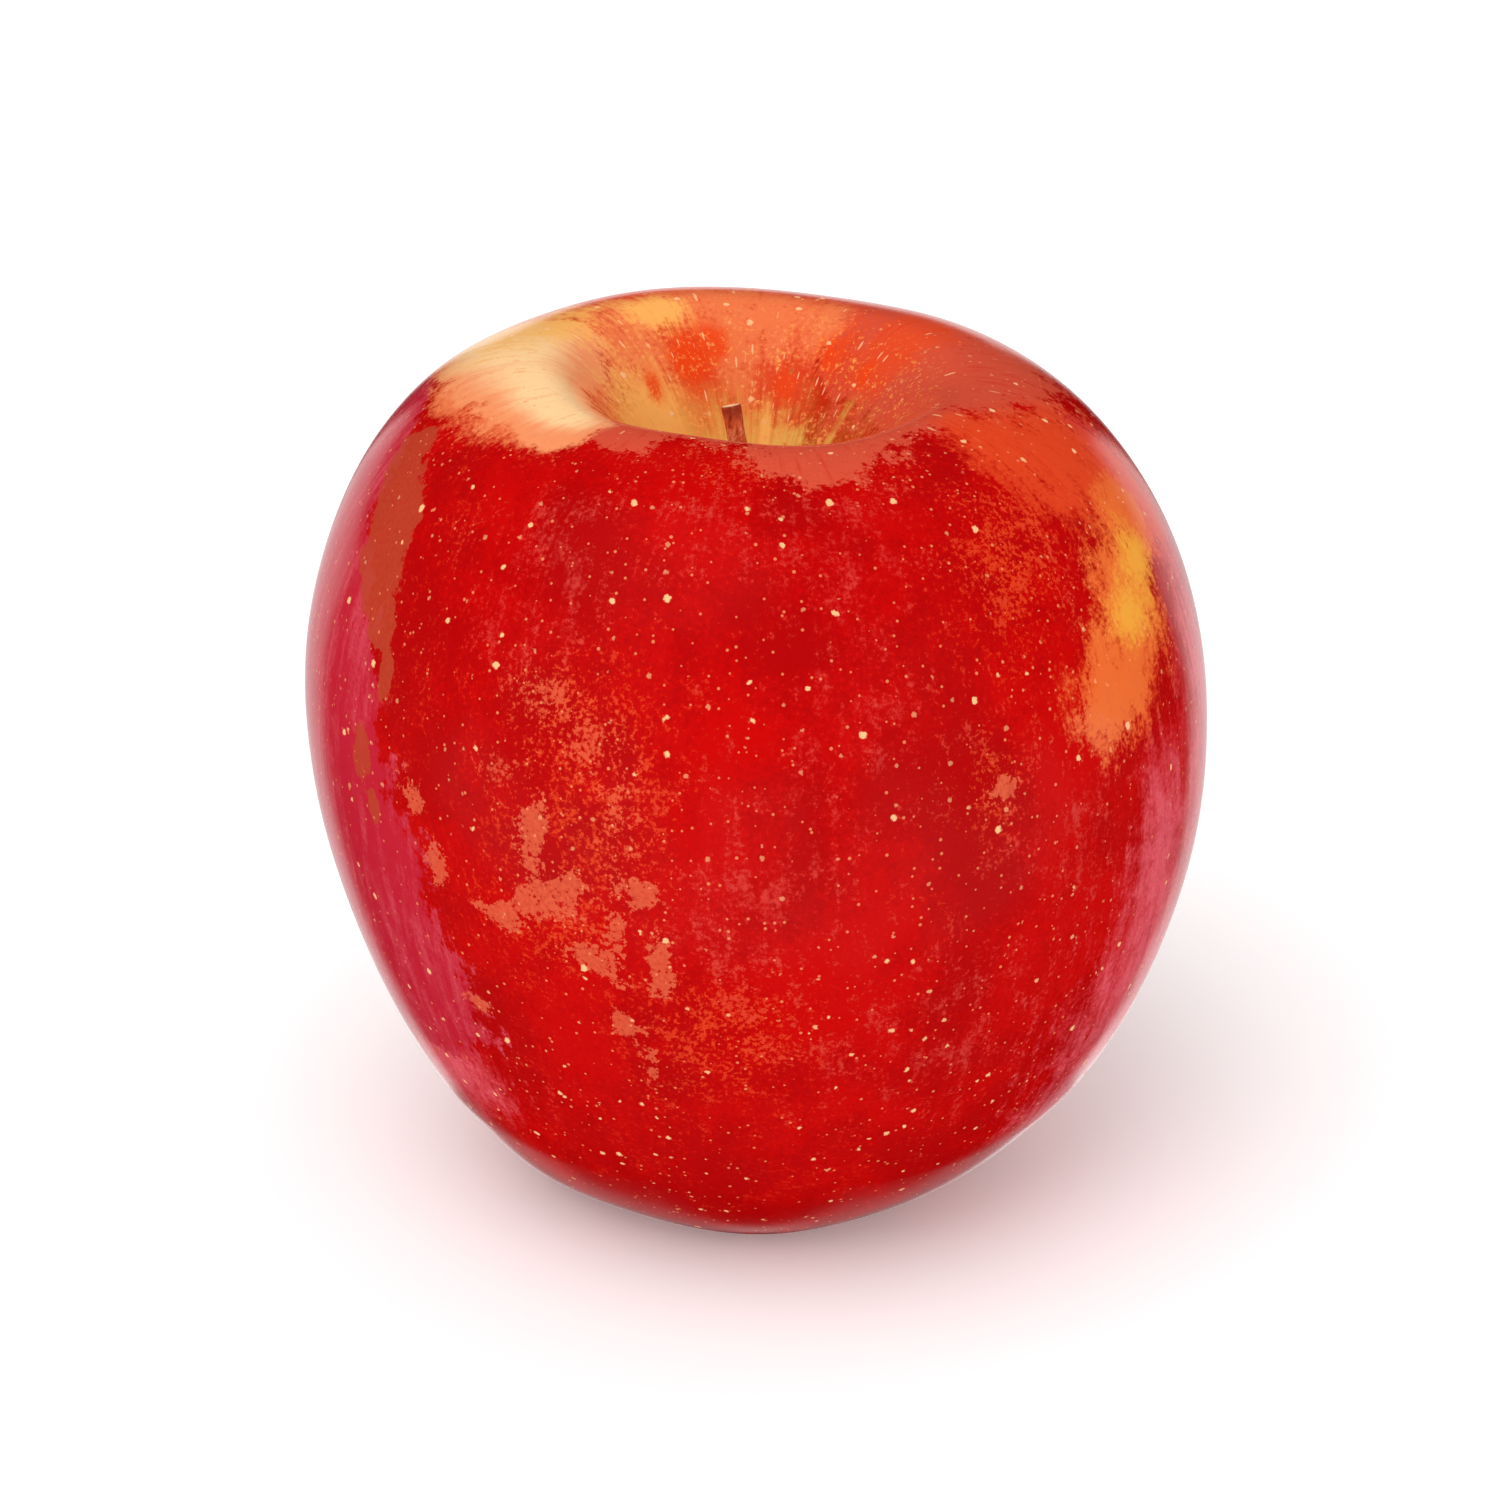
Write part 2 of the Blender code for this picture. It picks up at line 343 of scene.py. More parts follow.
# Painted places, each as bearing in degrees, millimetres down the skin from the stem, and the half widths
# of both. Bearing -90 is the front and 0 the right. The crest is 28 mm down and the widest ring 70 mm.
# Beyond PLACE_REACH half widths a place has faded out.
PLACE_REACH = 3.2
PLACES = {
    # Places that darken the red: the wide one low on the front is a painted shade, the others are darker
    # spots.
    "dark_spots_and_shade": [(-140, 50, 9, 9), (-62, 64, 7, 8), (-85, 114, 70, 14), (-118, 44, 8, 6), (170, 80, 30, 20)],
    "mottle": [
        (-108, 63, 8, 8), (-114, 56, 7, 4), (-95, 84, 10, 6), (-116, 74, 8, 5), (-60, 63, 4, 4),
        (-48, 44, 10, 7), (-84, 31, 20, 4), (80, 60, 40, 25), (170, 60, 30, 20),
    ],
    "flush": [
        (-76, 50, 12, 16), (-84, 36, 34, 7), (-122, 46, 14, 12), (-92, 72, 14, 14), (-48, 70, 14, 12),
        (-66, 88, 18, 10), (-38, 50, 8, 8), (150, 100, 30, 10),
    ],
    # Places of a painted reflection: pink sheen along the right and lower left rims.
    "painted_rim_sheen": [
        (-26, 94, 18, 14), (-10, 64, 9, 12), (-3, 82, 13, 12), (-26, 106, 16, 5), (-143, 97, 12, 6),
        (-30, 76, 6, 10), (-7, 43, 7, 7),
    ],
    "shoulder": [
        (-66, 26, 38, 3.5), (-76, 31, 12, 3), (2, 25, 30, 9), (40, 24, 22, 8), (70, 28, 20, 6),
        (-258, 29, 16, 4), (-218, 32, 14, 3), (-122, 29, 9, 2.5), (125, 34, 14, 6), (60, 34, 40, 6),
    ],
    "orange": [
        (-33, 33, 8, 5), (-20, 38, 16, 6), (-12, 46, 14, 6), (-36, 58, 10, 5), (36, 24, 12, 7),
        (78, 20, 22, 8), (-236, 20, 30, 8), (115, 26, 30, 7), (60, 66, 26, 24), (138, 58, 9, 14),
        (128, 72, 5, 9),
    ],
    "glow": [
        (-262, 22, 9, 7), (-226, 25, 12, 6), (-216, 17, 12, 8), (-248, 27, 10, 3), (84, 25, 12, 5),
        (66, 25, 6, 4), (-150, 33.5, 14, 2), (-172, 36, 12, 1.8), (-40, 60, 6, 2.5), (-185, 21, 25, 4),
    ],
    "ochre": [(-29, 52, 8, 5), (-18, 46, 8, 4), (-37, 58, 7, 4), (62, 68, 8, 9), (52, 58, 6, 6)],
    "gold": [(-30, 53, 6, 3), (-22, 49, 5, 3.5), (62, 66, 5, 5)],
    "amber": [
        (-214, 17, 22, 4), (-190, 17, 22, 3.5), (82, 13, 3.5, 3.5), (-206, 31, 20, 5), (-240, 26, 10, 2.5),
    ],
    "cream": [
        (-197, 29, 16, 7), (-175, 29, 16, 6), (-153, 29, 13, 4.4), (-138, 30, 8, 3.6), (-196, 33, 10, 5),
    ],
    "pale": [(-189, 30, 15, 4), (-160, 28, 16, 3.2), (-143, 29, 9, 1.8), (-196, 33, 10, 4)],
    "ember": [
        (-243, 20.5, 9, 3), (-256, 22, 5, 2), (-222, 19, 5, 2), (40, 21, 4, 1.6), (75, 18, 6, 2),
        (60, 22, 6, 2),
    ],
    # Places of a painted reflection: the pink sheen down the left flank.
    "painted_sheen": [(-190, 43, 12, 5), (-177, 48, 13, 8), (-163, 59, 15, 8), (-156, 75, 21, 11), (-152, 89, 22, 7)],
    "olive": [
        (-164, 41, 4, 3), (-158, 45, 4.4, 3.6), (-151.5, 46, 4, 3.6), (-152, 51, 4, 3), (-147, 54, 2.6, 2.6),
        (-143.5, 58, 1.3, 2.2), (-147, 66, 2.2, 2.4), (-144, 70, 1.4, 1.6),
    ],
    "salmon": [
        (-117, 66.5, 1.8, 3.2), (-115.5, 71.8, 3.4, 1.9), (-118.5, 73, 2, 1.3), (-122.5, 75, 2.6, 1.1),
        (-112, 70.5, 2, 0.9), (-107, 74, 1.1, 4.2), (-110.5, 77.5, 3, 1.3), (-102, 77.5, 1.5, 2.4),
        (-103.5, 70.5, 2.2, 1.5), (-107, 84, 1.4, 1.4), (-104.5, 87.5, 0.9, 2.2), (-136, 67, 2.2, 1.4),
        (-132, 73, 1.5, 1.8), (-129, 86, 1.8, 1), (-59, 63, 2, 1), (20, 75, 3, 4), (112, 66, 3, 1.6),
        (104, 71, 1.5, 3),
    ],
    "scuff": [(-117, 55, 5, 3), (-110, 58, 6, 3), (-106, 65, 4, 6), (-60, 63, 3, 2.5), (-122, 62, 4, 3)],
}


def at(radius, height):
    """A point of an outline, which lies in the XZ plane."""
    return Vector((radius, 0.0, height))


def fruit_outline(sizes):
    """Half section of the fruit, from the cavity floor over the crest and the flank to the basin floor."""
    up_the_flank = at(math.sin(sizes.flank_angle), math.cos(sizes.flank_angle))
    cavity = at(0.0, sizes.height - sizes.cavity_depth)
    crest = at(sizes.crest_radius, sizes.height)
    widest = at(sizes.radius, sizes.widest_height)
    flank = at(sizes.flank_radius, sizes.flank_height)
    rest = at(sizes.rest_radius, 0.0)
    basin = at(0.0, sizes.basin_depth)
    curves = [
        (cavity, cavity + at(CAVITY_FLOOR_REACH, 0.0), crest - at(CREST_REACH_IN, 0.0), crest),
        (crest, crest + at(CREST_REACH_OUT, 0.0), widest + at(0.0, WIDEST_REACH_UP), widest),
        (widest, widest - at(0.0, WIDEST_REACH_DOWN), flank + up_the_flank * FLANK_REACH_UP, flank),
        (flank, flank - up_the_flank * FLANK_REACH_DOWN, rest + at(REST_REACH_OUT, 0.0), rest),
        (rest, rest - at(REST_REACH_IN, 0.0), basin + at(BASIN_FLOOR_REACH, 0.0), basin),
    ]
    points = [cavity]
    for (start, leave, arrive, end), steps in zip(curves, OUTLINE_STEPS):
        points += interpolate_bezier(start, leave, arrive, end, steps + 1)[1:]
    return points


def lobe_valley(bearing, first_lobe, count):
    """0 on the ridge of a lobe and 1 in the valley between two."""
    return 0.5 - 0.5 * math.cos(count * (bearing - first_lobe))


def grown(point, sizes):
    """Where the fruit's uneven growth puts a point of the evenly turned body."""
    level = point.z / sizes.height
    bearing = math.atan2(point.y, point.x)
    off_core = min(point.xy.length / LOBE_CORE_RADIUS, 1.0) ** 2
    near_base = max(1.0 - level / LOBE_FADE, 0.0) ** 2 * off_core
    near_crest = max((level - CREST_FADE) / (1.0 - CREST_FADE), 0.0) ** 2 * off_core
    tilted = max((level - CREST_TILT_START) / (1.0 - CREST_TILT_START), 0.0) ** 2
    core_drift = sizes.core_sway * math.sin(math.tau * level) - sizes.core_bow * (level - 0.5) ** 2
    x = point.x + core_drift
    z = point.z - sizes.crest_tilt * tilted * x
    z += sizes.lobe_valley * lobe_valley(bearing, LOBE_BEARING, sizes.lobe_count) * near_base
    z -= sizes.crest_dip * lobe_valley(bearing, CREST_BEARING, sizes.lobe_count) * near_crest
    return Vector((x, point.y, max(z - sizes.rest_flat, 0.0)))


def coverage(bearing, down, places):
    """How far a set of painted places covers a point of the skin: 0.5 on an edge, 1 well inside."""
    bare = 1.0
    for middle, depth, half_across, half_down in places:
        if abs(down - depth) > PLACE_REACH * half_down:
            continue
        across = (bearing - middle + 180.0) % 360.0 - 180.0
        spread = (across / half_across) ** 2 + (down - depth) ** 2 / half_down ** 2
        bare *= 1.0 - 0.5 ** spread
    return 1.0 - bare


def core_shift(body):
    """What moves the fruit's box over the middle of the CAD fruit's box."""
    across = [vertex.co.x for vertex in body.verts]
    deep = [vertex.co.y for vertex in body.verts]
    middle = Vector(((min(across) + max(across)) / 2, (min(deep) + max(deep)) / 2, 0.0))
    wanted = (FRUIT_LOW + FRUIT_HIGH) / 2
    return Vector((wanted.x - middle.x, wanted.y - middle.y, 0.0))


def fruit_mesh(sizes):
    """The turned outline with its uneven growth, and the attributes that its skin is painted with."""
    body = bmesh.new()
    down_layer = body.verts.layers.float.new("down")
    meridian_layer = body.verts.layers.float_vector.new("meridian")
    layers = {name: body.verts.layers.float.new(name) for name in PLACES}
    outline = fruit_outline(sizes)
    ring = [body.verts.new(point) for point in outline]
    walked = 0.0
    for index, vertex in enumerate(ring):
        if index:
            walked += (outline[index] - outline[index - 1]).length
        vertex[down_layer] = walked
    edges = [body.edges.new(pair) for pair in zip(ring, ring[1:])]
    bmesh.ops.spin(
        body, geom=ring + edges, cent=(0.0, 0.0, 0.0), axis=(0.0, 0.0, 1.0),
        angle=math.tau, steps=sizes.segments, use_merge=True,
    )
    bmesh.ops.remove_doubles(body, verts=body.verts, dist=MERGE_DISTANCE)
    bmesh.ops.recalc_face_normals(body, faces=body.faces)
    for vertex in body.verts:
        bearing = math.atan2(vertex.co.y, vertex.co.x)
        down = vertex[down_layer]
        vertex[meridian_layer] = (math.cos(bearing), math.sin(bearing), down)
        for name, places in PLACES.items():
            vertex[layers[name]] = coverage(math.degrees(bearing), down * 1000.0, places)
        vertex.co = grown(vertex.co, sizes)
    shift = core_shift(body)
    body.normal_update()
    for vertex in body.verts:
        swell = noise.noise(vertex.co * SWELL_PER_METRE) * min(vertex.co.z / sizes.lobe_valley, 1.0)
        vertex.co += vertex.normal * (swell * sizes.swell) + shift
    mesh = bpy.data.meshes.new("fruit_skin")
    body.to_mesh(mesh)
    body.free()
    return mesh


SMALL_PORE_SHIFT = (0.31, 0.17, 0.23)
WANDER = 0.0006
WANDER_PER_METRE = 1700.0
DOT_LEAST = 0.7
DOT_SPREAD = 0.6
DOT_SOFTNESS = 0.22
SKIN_BUMP = 0.00003


def skin_material(paint):
    """Waxy apple skin: red overcolour, thin in places over a cream and yellow ground, with pale pores, and
    with painted reflections and a painted shade in its colour.
    """
    graph = new_graph("apple_skin")
    here = graph.position()
    meridian = graph.attribute("meridian", "Vector")
    down = graph.part(meridian, "Z")
    streak = graph.noise(graph.stretched(meridian, (36.0, 36.0, 110.0)), 1.0, 5.0, 0.65) - 0.5
    broad_streak = graph.noise(graph.stretched(meridian, (9.0, 9.0, 50.0)), 1.0, 4.0, 0.6) - 0.5
    blotch = graph.noise(here, 80.0, 5.0, 0.6) - 0.5
    ragged = graph.noise(here, 300.0, 8.0, 0.74) - 0.5
    grain = graph.noise(here, 2300.0, 3.0, 0.7) - 0.5

    def patch(name, jag, comb, low, high, fleck=0.0):
        """A painted place with a jagged edge, combed along the meridians and broken into flecks."""
        painted = graph.attribute(name)
        return graph.step(painted + ragged * jag + streak * comb + grain * fleck, low, high) \
            * graph.step(painted, 0.02, 0.15)

    # Red overcolour, darker in spots and in a painted shade low on the front, with orange speckle, a pink
    # flush and a painted pink reflection near the rims.
    dark_spots_and_shade = graph.attribute("dark_spots_and_shade")
    red_level = graph.step(blotch + ragged * 0.3 + streak * 0.2 + grain * 0.6 - dark_spots_and_shade * 0.16, -0.18, 0.10)
    skin = graph.mix(red_level, paint.deep_red, paint.red)
    mottle = graph.attribute("mottle")
    speckle = graph.step(ragged * 0.55 + grain * 0.75 + streak * 0.15 + mottle * 0.10, 0.08, 0.17)
    skin = graph.mix(speckle * (mottle * 0.45 + 0.22), skin, paint.orange_red)
    flush = graph.step(graph.attribute("flush") * 0.5 + ragged * 1.8 + streak * 1.1 + grain * 1.4, 0.45, 0.95)
    skin = graph.mix(flush * 0.5, skin, paint.flush)
    # Painted reflection: pink sheen along the rims.
    skin = graph.mix(patch("painted_rim_sheen", 1.4, 1.0, 0.25, 1.25, 0.7) * 0.72, skin, paint.painted_sheen_pink)

    # Painted reflection: a pink sheen painted down the left flank, streaked with paler pink, which stops
    # short of the back.
    painted_sheen = patch("painted_sheen", 0.9, 0.3, 0.48, 0.53) * graph.step(graph.part(meridian, "Y"), 0.50, 0.22)
    skin = graph.mix(painted_sheen * 0.9, skin, paint.painted_sheen)
    streaked_sheen = graph.step(streak + broad_streak + ragged * 0.7 + grain * 0.5, -0.15, 0.40)
    skin = graph.mix(streaked_sheen * painted_sheen * 0.36, skin, paint.painted_sheen_pink)

    # Thin overcolour on the shoulder and the cheeks, and the ground colour where there is none.
    skin = graph.mix(patch("shoulder", 2.2, 0.5, 0.40, 0.60, 0.8) * 0.80, skin, paint.dusty_red)
    skin = graph.mix(patch("orange", 1.6, 1.0, 0.28, 0.85, 1.0) * 0.85, skin, paint.orange_red)
    thin = graph.largest(graph.attribute("shoulder"), graph.attribute("orange"))
    strands = graph.step(streak * 1.2 + broad_streak * 0.5 + ragged * 0.9 + grain * 0.3, 0.04, 0.26) * thin
    skin = graph.mix(strands * 0.40, skin, paint.red)
    skin = graph.mix(patch("glow", 1.8, 0.8, 0.25, 0.90, 1.0) * 0.85, skin, paint.glow)
    skin = graph.mix(patch("ochre", 1.9, 0.5, 0.30, 0.80, 0.9) * 0.95, skin, paint.orange)
    skin = graph.mix(patch("gold", 1.2, 0.7, 0.30, 1.05, 1.0) * 0.9, skin, paint.ochre)
    skin = graph.mix(patch("cream", 1.3, 0.3, 0.36, 0.60, 0.2), skin, paint.peach)
    skin = graph.mix(patch("pale", 0.6, 0.9, 0.10, 0.90, 0.2), skin, paint.cream)
    bare = graph.largest(graph.attribute("cream"), graph.attribute("glow"))
    combed = graph.step(streak + ragged * 0.8 + grain * 0.4, 0.04, 0.30) * bare
    skin = graph.mix(combed * 0.40, skin, paint.salmon)

    # Yellow and brown floor of the stem cavity, with flushed spots on its walls.
    floor_level = graph.step(down + streak * 0.010 + ragged * 0.010 + grain * 0.004, 0.0190, 0.0105)
    floor_mix = blotch + ragged * 0.8 + broad_streak * 0.8 + graph.part(meridian, "X") * 0.16
    floor_colour = graph.mix(graph.step(floor_mix, -0.02, 0.18), paint.green, paint.umber)
    skin = graph.mix(floor_level * 0.85, skin, floor_colour)
    skin = graph.mix(patch("amber", 1.6, 1.2, 0.25, 0.95, 0.6) * 0.8, skin, paint.straw)
    skin = graph.mix(patch("ember", 2.0, 0.8, 0.30, 0.95, 1.0) * 0.9, skin, paint.ember)

    # Olive strip and small bare patches.
    skin = graph.mix(patch("olive", 1.5, 0.2, 0.49, 0.54) * (grain * 0.8 + 0.82), skin, paint.olive)
    scuff = graph.step(graph.attribute("scuff") * 0.55 + ragged * 1.3 + grain * 1.5, 0.48, 0.72)
    skin = graph.mix(scuff * 0.6, skin, paint.salmon)
    skin = graph.mix(patch("salmon", 3.2, 0.2, 0.54, 0.62, 1.6) * (grain + 0.74), skin, paint.salmon)

    # Fine mottling of the stem cavity's walls.
    in_cavity = graph.step(down, 0.029, 0.020)
    reddened = graph.step(blotch * 0.6 + ragged + grain * 0.6 + streak * 0.3, 0.06, 0.30) * in_cavity
    skin = graph.mix(reddened * 0.55, skin, paint.orange_red)
    yellowed = graph.step(blotch * -0.6 - ragged * 0.8 + grain * 0.6 - streak * 0.4, 0.08, 0.30) * in_cavity
    skin = graph.mix(yellowed * 0.55, skin, paint.straw)
    dust = graph.step(grain + ragged * 0.6 + streak * 0.4, 0.05, 0.24) * in_cavity
    skin = graph.mix(dust * 0.65, skin, paint.straw)

    # Pale dashes around the stem, fine flecks, and pores that are thicker low down.
    near_stem = graph.step(down, 0.034, 0.026)
    dash_place = graph.stretched(meridian, (26.0, 26.0, 330.0))
    dashes = dot_mask(graph, dash_place, 1.0, 0.15, 0.45) * near_stem
    low_down = graph.step(down, 0.070, 0.095)
    flecks = dot_mask(graph, here, 1300.0, 0.15, 0.42)
    pores = dot_mask(graph, wandering(graph, here), 430.0, 0.115, 0.34)
    elsewhere = graph.moved(here, SMALL_PORE_SHIFT)
    small_pores = dot_mask(graph, wandering(graph, elsewhere), 640.0, 0.12, 0.30)
    pore = graph.largest(pores, small_pores * (low_down * 0.6 + 0.4))
    skin = graph.mix(flecks * 0.62, skin, paint.peach)
    skin = graph.mix(dashes * 0.6, skin, paint.cream)
    skin = graph.mix(pore * 0.95, skin, paint.pore)

    height = pore * 0.5 + ragged * 0.5 + grain * 0.15
    return graph.finish(
        Base_Color=skin, Roughness=ragged * 0.12 + pore * 0.2 + 0.18,
        Normal=graph.bump(height, SKIN_BUMP), Specular_IOR_Level=0.16, IOR=1.42,
    )


def wandering(graph, place):
    """A place moved a little at random, which makes round dots uneven."""
    shift = graph.noise(place, WANDER_PER_METRE, 3.0, 0.7, output="Color")
    return graph.moved(place, graph.stretched(shift, (WANDER, WANDER, WANDER)))


def dot_mask(graph, place, per_metre, radius, share):
    """Soft-edged dots of different sizes, in only a share of the scattered cells."""
    distance = graph.cells(place, per_metre, "Distance")
    cell = graph.cells(place, per_metre, "Color")
    kept = graph.step(graph.part(cell, "X"), 1.0 - share, 1.01 - share)
    reach = graph.part(cell, "Y") * (radius * DOT_SPREAD) + radius * DOT_LEAST
    return graph.step(distance - reach, radius * DOT_SOFTNESS, radius * -DOT_SOFTNESS) * kept


# ---------------------------------------------------------------- stem

STEM_SECTIONS = 90
STEM_FOOT_SHARPNESS = 14.4
STEM_END_SHARPNESS = 9.0
STEM_SINK = 0.0009
STEM_LEAN_CURVE = 1.5
STEM_CUT_STEPS = 6
STEM_CUT_SLANT = (0.20, -0.26)
STEM_CUT_SLANT_CURVE = 8
STEM_CUT_DOME = 0.006
STEM_CUT_HOLLOW = 0.00012
BARK_RIDGE = 0.00010
RIDGES_AROUND = 2.6
RIDGES_ALONG = 3.0
BARK_KNOT = 0.00016
KNOTS_AROUND = 1.17
KNOTS_ALONG = 7.0
KNOT_SHIFT = 4.0
BARK_BUMP = 0.00012


def stem_radius(along, sizes):
    """The stem's radius at a fraction of its length: flared at its foot and at its cut end."""
    foot = sizes.foot_flare * math.exp(-STEM_FOOT_SHARPNESS * along)
    end = sizes.end_flare * math.exp(-STEM_END_SHARPNESS * (1.0 - along))
    return sizes.radius + foot + end


def stem_mesh(sizes):
    """A turned stem with a flared foot and a cut end, then ridged, knotted, slanted and leant."""
    foot = Vector(((STEM_LOW.x + STEM_HIGH.x) / 2, (STEM_LOW.y + STEM_HIGH.y) / 2, STEM_LOW.z))
    foot.x = STEM_HIGH.x - (STEM_HIGH.y - STEM_LOW.y) / 2
    tall = STEM_HIGH.z - STEM_LOW.z
    body = bmesh.new()
    along_layer = body.verts.layers.float.new("along")
    cut_layer = body.verts.layers.float.new("cut")
    outline = []
    for section in range(STEM_SECTIONS + 1):
        along = section / STEM_SECTIONS
        low = -STEM_SINK * (1.0 - along)
        vertex = body.verts.new(at(stem_radius(along, sizes), low + tall * along))
        vertex[along_layer] = along
        outline.append(vertex)
    end_radius = stem_radius(1.0, sizes)
    for ring in range(1, STEM_CUT_STEPS + 1):
        inwards = ring / STEM_CUT_STEPS
        dish = tall * (1.0 + STEM_CUT_DOME * math.sin(math.pi * inwards)) - STEM_CUT_HOLLOW * inwards
        vertex = body.verts.new(at(end_radius * (1.0 - inwards), dish))
        vertex[along_layer] = 1.0
        vertex[cut_layer] = 1.0
        outline.append(vertex)
    bottom = body.verts.new(at(0.0, -STEM_SINK))
    outline.insert(0, bottom)
    edges = [body.edges.new(pair) for pair in zip(outline, outline[1:])]
    bmesh.ops.spin(
        body, geom=outline + edges, cent=(0.0, 0.0, 0.0), axis=(0.0, 0.0, 1.0),
        angle=math.tau, steps=sizes.segments, use_merge=True,
    )
    bmesh.ops.remove_doubles(body, verts=body.verts, dist=MERGE_DISTANCE)
    bmesh.ops.recalc_face_normals(body, faces=body.faces)
    for vertex in body.verts:
        along = vertex[along_layer]
        outward = Vector((vertex.co.x, vertex.co.y, 0.0))
        rim = min(outward.length / end_radius, 1.0)
        outward.normalize()
        ridge = noise.noise(outward * RIDGES_AROUND + Vector((0.0, 0.0, along * RIDGES_ALONG)))
        knot = noise.noise(outward * KNOTS_AROUND + Vector((0.0, 0.0, along * KNOTS_ALONG + KNOT_SHIFT)))
        vertex.co += outward * (ridge * BARK_RIDGE + knot * BARK_KNOT) * rim
        slant = STEM_CUT_SLANT[0] * vertex.co.x + STEM_CUT_SLANT[1] * vertex.co.y
        vertex.co.z += slant * along ** STEM_CUT_SLANT_CURVE
        vertex.co += foot + Vector((sizes.lean * along ** STEM_LEAN_CURVE, 0.0, 0.0))
    mesh = bpy.data.meshes.new("stem_bark")
    body.to_mesh(mesh)
    body.free()
    return mesh


def bark_material(paint):
    """Dry reddish bark with dark grooves and worn ridges, a painted shadow just below the cut end, and a pale
    cut end.
    """
    graph = new_graph("stem_bark")
    here = graph.position()
    grain = graph.noise(graph.stretched(here, (2600.0, 2600.0, 320.0)), 1.0, 5.0, 0.65)
    patch = graph.noise(here, 620.0, 4.0, 0.6)
    fibre = graph.noise(here, 3800.0, 4.0, 0.7)
    groove = graph.step(grain + (patch - 0.5) * 0.5, 0.52, 0.34)
    worn = graph.step(grain * 0.4 + patch * 0.4 + fibre * 0.4, 0.60, 0.74)
    bark = graph.mix(groove, paint.bark, paint.dark)
    bark = graph.mix(worn * 0.8, bark, paint.pale)
    # Painted shadow: a band of dark bark just below the cut end.
    painted_shadow_below_cut = graph.step(graph.attribute("along") + (fibre - 0.5) * 0.16, 0.90, 0.97)
    bark = graph.mix(painted_shadow_below_cut * 0.75, bark, paint.dark)
    cut_wood = graph.mix(graph.step(fibre, 0.42, 0.62), paint.pale, paint.cut)
    cut = graph.step(graph.attribute("cut") + (fibre - 0.5) * 0.5, 0.35, 0.55)
    return graph.finish(
        Base_Color=graph.mix(cut, bark, cut_wood), Roughness=0.62 + grain * 0.25,
        Normal=graph.bump(grain * 0.7 + fibre * 0.3, BARK_BUMP), Specular_IOR_Level=0.3,
    )


# ---------------------------------------------------------------- calyx

SEPAL_CELLS_ACROSS = 10
SEPAL_CELLS_ALONG = 26
SEPAL_TIP_SHARE = 0.10
SEPAL_TAPER = 1.7
SEPAL_CUP = 0.00035
SEPAL_RIB = 0.00010
SEPAL_WRINKLE = 0.00018
SEPAL_WRINKLES_PER_METRE = 1100.0
SEPAL_WRINKLE_SHIFT = 7.0
SEPAL_ROOT_WRINKLE = 0.3
SEPAL_BUMP = 0.00008
STAMEN_SIDES = 7
STAMEN_RADIUS = 0.00009
STAMEN_TAPER = 1.4
STAMEN_SPREAD = 0.00062
STAMEN_SPLAY = 0.9
STAMEN_SHORTEST = 0.72
STAMEN_LENGTH_TURN = 2.4
STAMEN_BUMP = 0.00005
BOSS_SEGMENTS = 20
BOSS_RINGS = 10
BOSS_WIDTH = 1.5
BOSS_HEIGHT = 0.5
ANTHER_RADIUS = 0.00020
ANTHER_SUBDIVISIONS = 2


def sepal_mesh(number, sizes):
    """One sepal: a ribbed, wrinkled leaf that hangs, draws in and curls outwards, turned to its bearing."""
    low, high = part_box(f"sepal_{number}")
    drop = high.z - low.z - sizes.sepal_thickness * 2
    middle = calyx_middle()
    root = at(sizes.root_radius, 0.0)
    throat = at(sizes.throat_radius, -drop / 3)
    bend = at(sizes.throat_radius, -drop * 2 / 3)
    tip = at(sizes.tip_radius, -drop)
    spine = interpolate_bezier(root, throat, bend, tip, SEPAL_CELLS_ALONG + 1)
    body = bmesh.new()
    along_layer = body.verts.layers.float.new("along")
    bmesh.ops.create_grid(body, x_segments=SEPAL_CELLS_ACROSS, y_segments=SEPAL_CELLS_ALONG, size=1.0)
    turn = Matrix.Rotation(math.tau * (number - 1) / SEPAL_COUNT, 3, "Z")
    top = Vector((middle.x, middle.y, high.z - sizes.sepal_thickness))
    own_wrinkles = Vector((number * SEPAL_WRINKLE_SHIFT, 0.0, 0.0))
    for vertex in body.verts:
        across = vertex.co.x
        row = round((vertex.co.y + 1.0) / 2.0 * SEPAL_CELLS_ALONG)
        along = row / SEPAL_CELLS_ALONG
        width = (1.0 - along ** SEPAL_TAPER) * (1.0 - SEPAL_TIP_SHARE) + SEPAL_TIP_SHARE
        inward = -SEPAL_CUP * across ** 2 * (1.0 - along) + SEPAL_RIB * (1.0 - abs(across)) ** 3
        point = spine[row] + Vector((inward, across * width * sizes.sepal_width / 2, 0.0))
        crease = noise.noise(point * SEPAL_WRINKLES_PER_METRE + own_wrinkles)
        point.x += crease * SEPAL_WRINKLE * (SEPAL_ROOT_WRINKLE + along)
        vertex[along_layer] = along
        vertex.co = turn @ point + top
    mesh = bpy.data.meshes.new(f"dried_sepal_{number}")
    body.to_mesh(mesh)
    body.free()
    return mesh


def calyx_middle():
    """The middle of the calyx: that of the stamen tuft's box."""
    low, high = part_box("stamen_tuft")
    return (low + high) / 2


